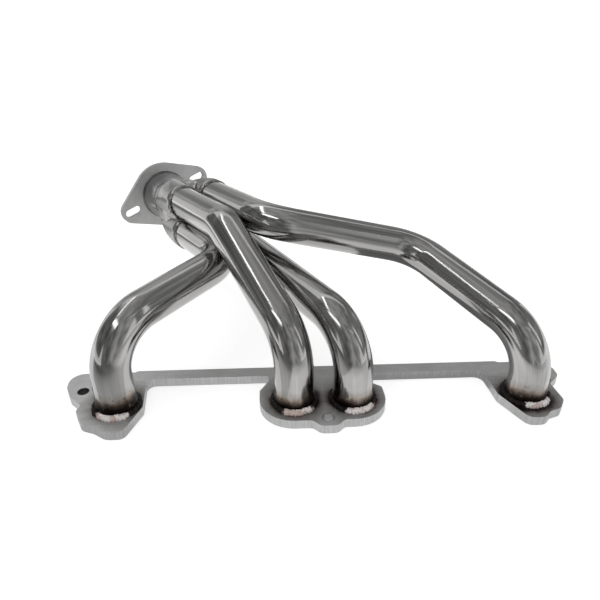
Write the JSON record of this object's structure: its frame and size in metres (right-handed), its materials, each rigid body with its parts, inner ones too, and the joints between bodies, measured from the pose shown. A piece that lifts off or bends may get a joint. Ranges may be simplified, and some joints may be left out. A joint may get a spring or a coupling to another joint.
{
  "type": "tubular exhaust manifold",
  "caption": "Polished steel tubular exhaust manifold: bent primary tubes from a long head flange into a collector with a two-bolt outlet.",
  "frame": {"origin": "on the head flange's mating face, midway between the four ports", "axes": "+X along the row of ports from the first to the fourth, +Y from the port line towards the collector, +Z away from the cylinder head"},
  "size_m": [0.5069, 0.4322, 0.1606],
  "materials": {
    "tube_steel": "polished",
    "collector_steel": "satin",
    "flange_steel": "matte, laser cut",
    "weld_bead": "rippled, heat tinted"
  },
  "bodies": {
    "root": {"head_flange": "flange_steel", "primary_tube_1": "tube_steel", "primary_tube_2": "tube_steel", "primary_tube_3": "tube_steel", "primary_tube_4": "tube_steel", "port_weld_1": "weld_bead", "port_weld_2": "weld_bead", "port_weld_3": "weld_bead", "port_weld_4": "weld_bead", "port_seal_weld_1": "weld_bead", "port_seal_weld_2": "weld_bead", "port_seal_weld_3": "weld_bead", "port_seal_weld_4": "weld_bead", "collector_body": "collector_steel", "star_weld": "weld_bead", "mouth_weld_1": "weld_bead", "mouth_weld_2": "weld_bead", "mouth_weld_3": "weld_bead", "mouth_weld_4": "weld_bead", "outlet_pipe": "collector_steel", "neck_seam_weld": "weld_bead", "outlet_flange": "flange_steel", "outlet_flange_weld": "weld_bead", "outlet_seal_weld": "weld_bead"}
  },
  "joints": []
}
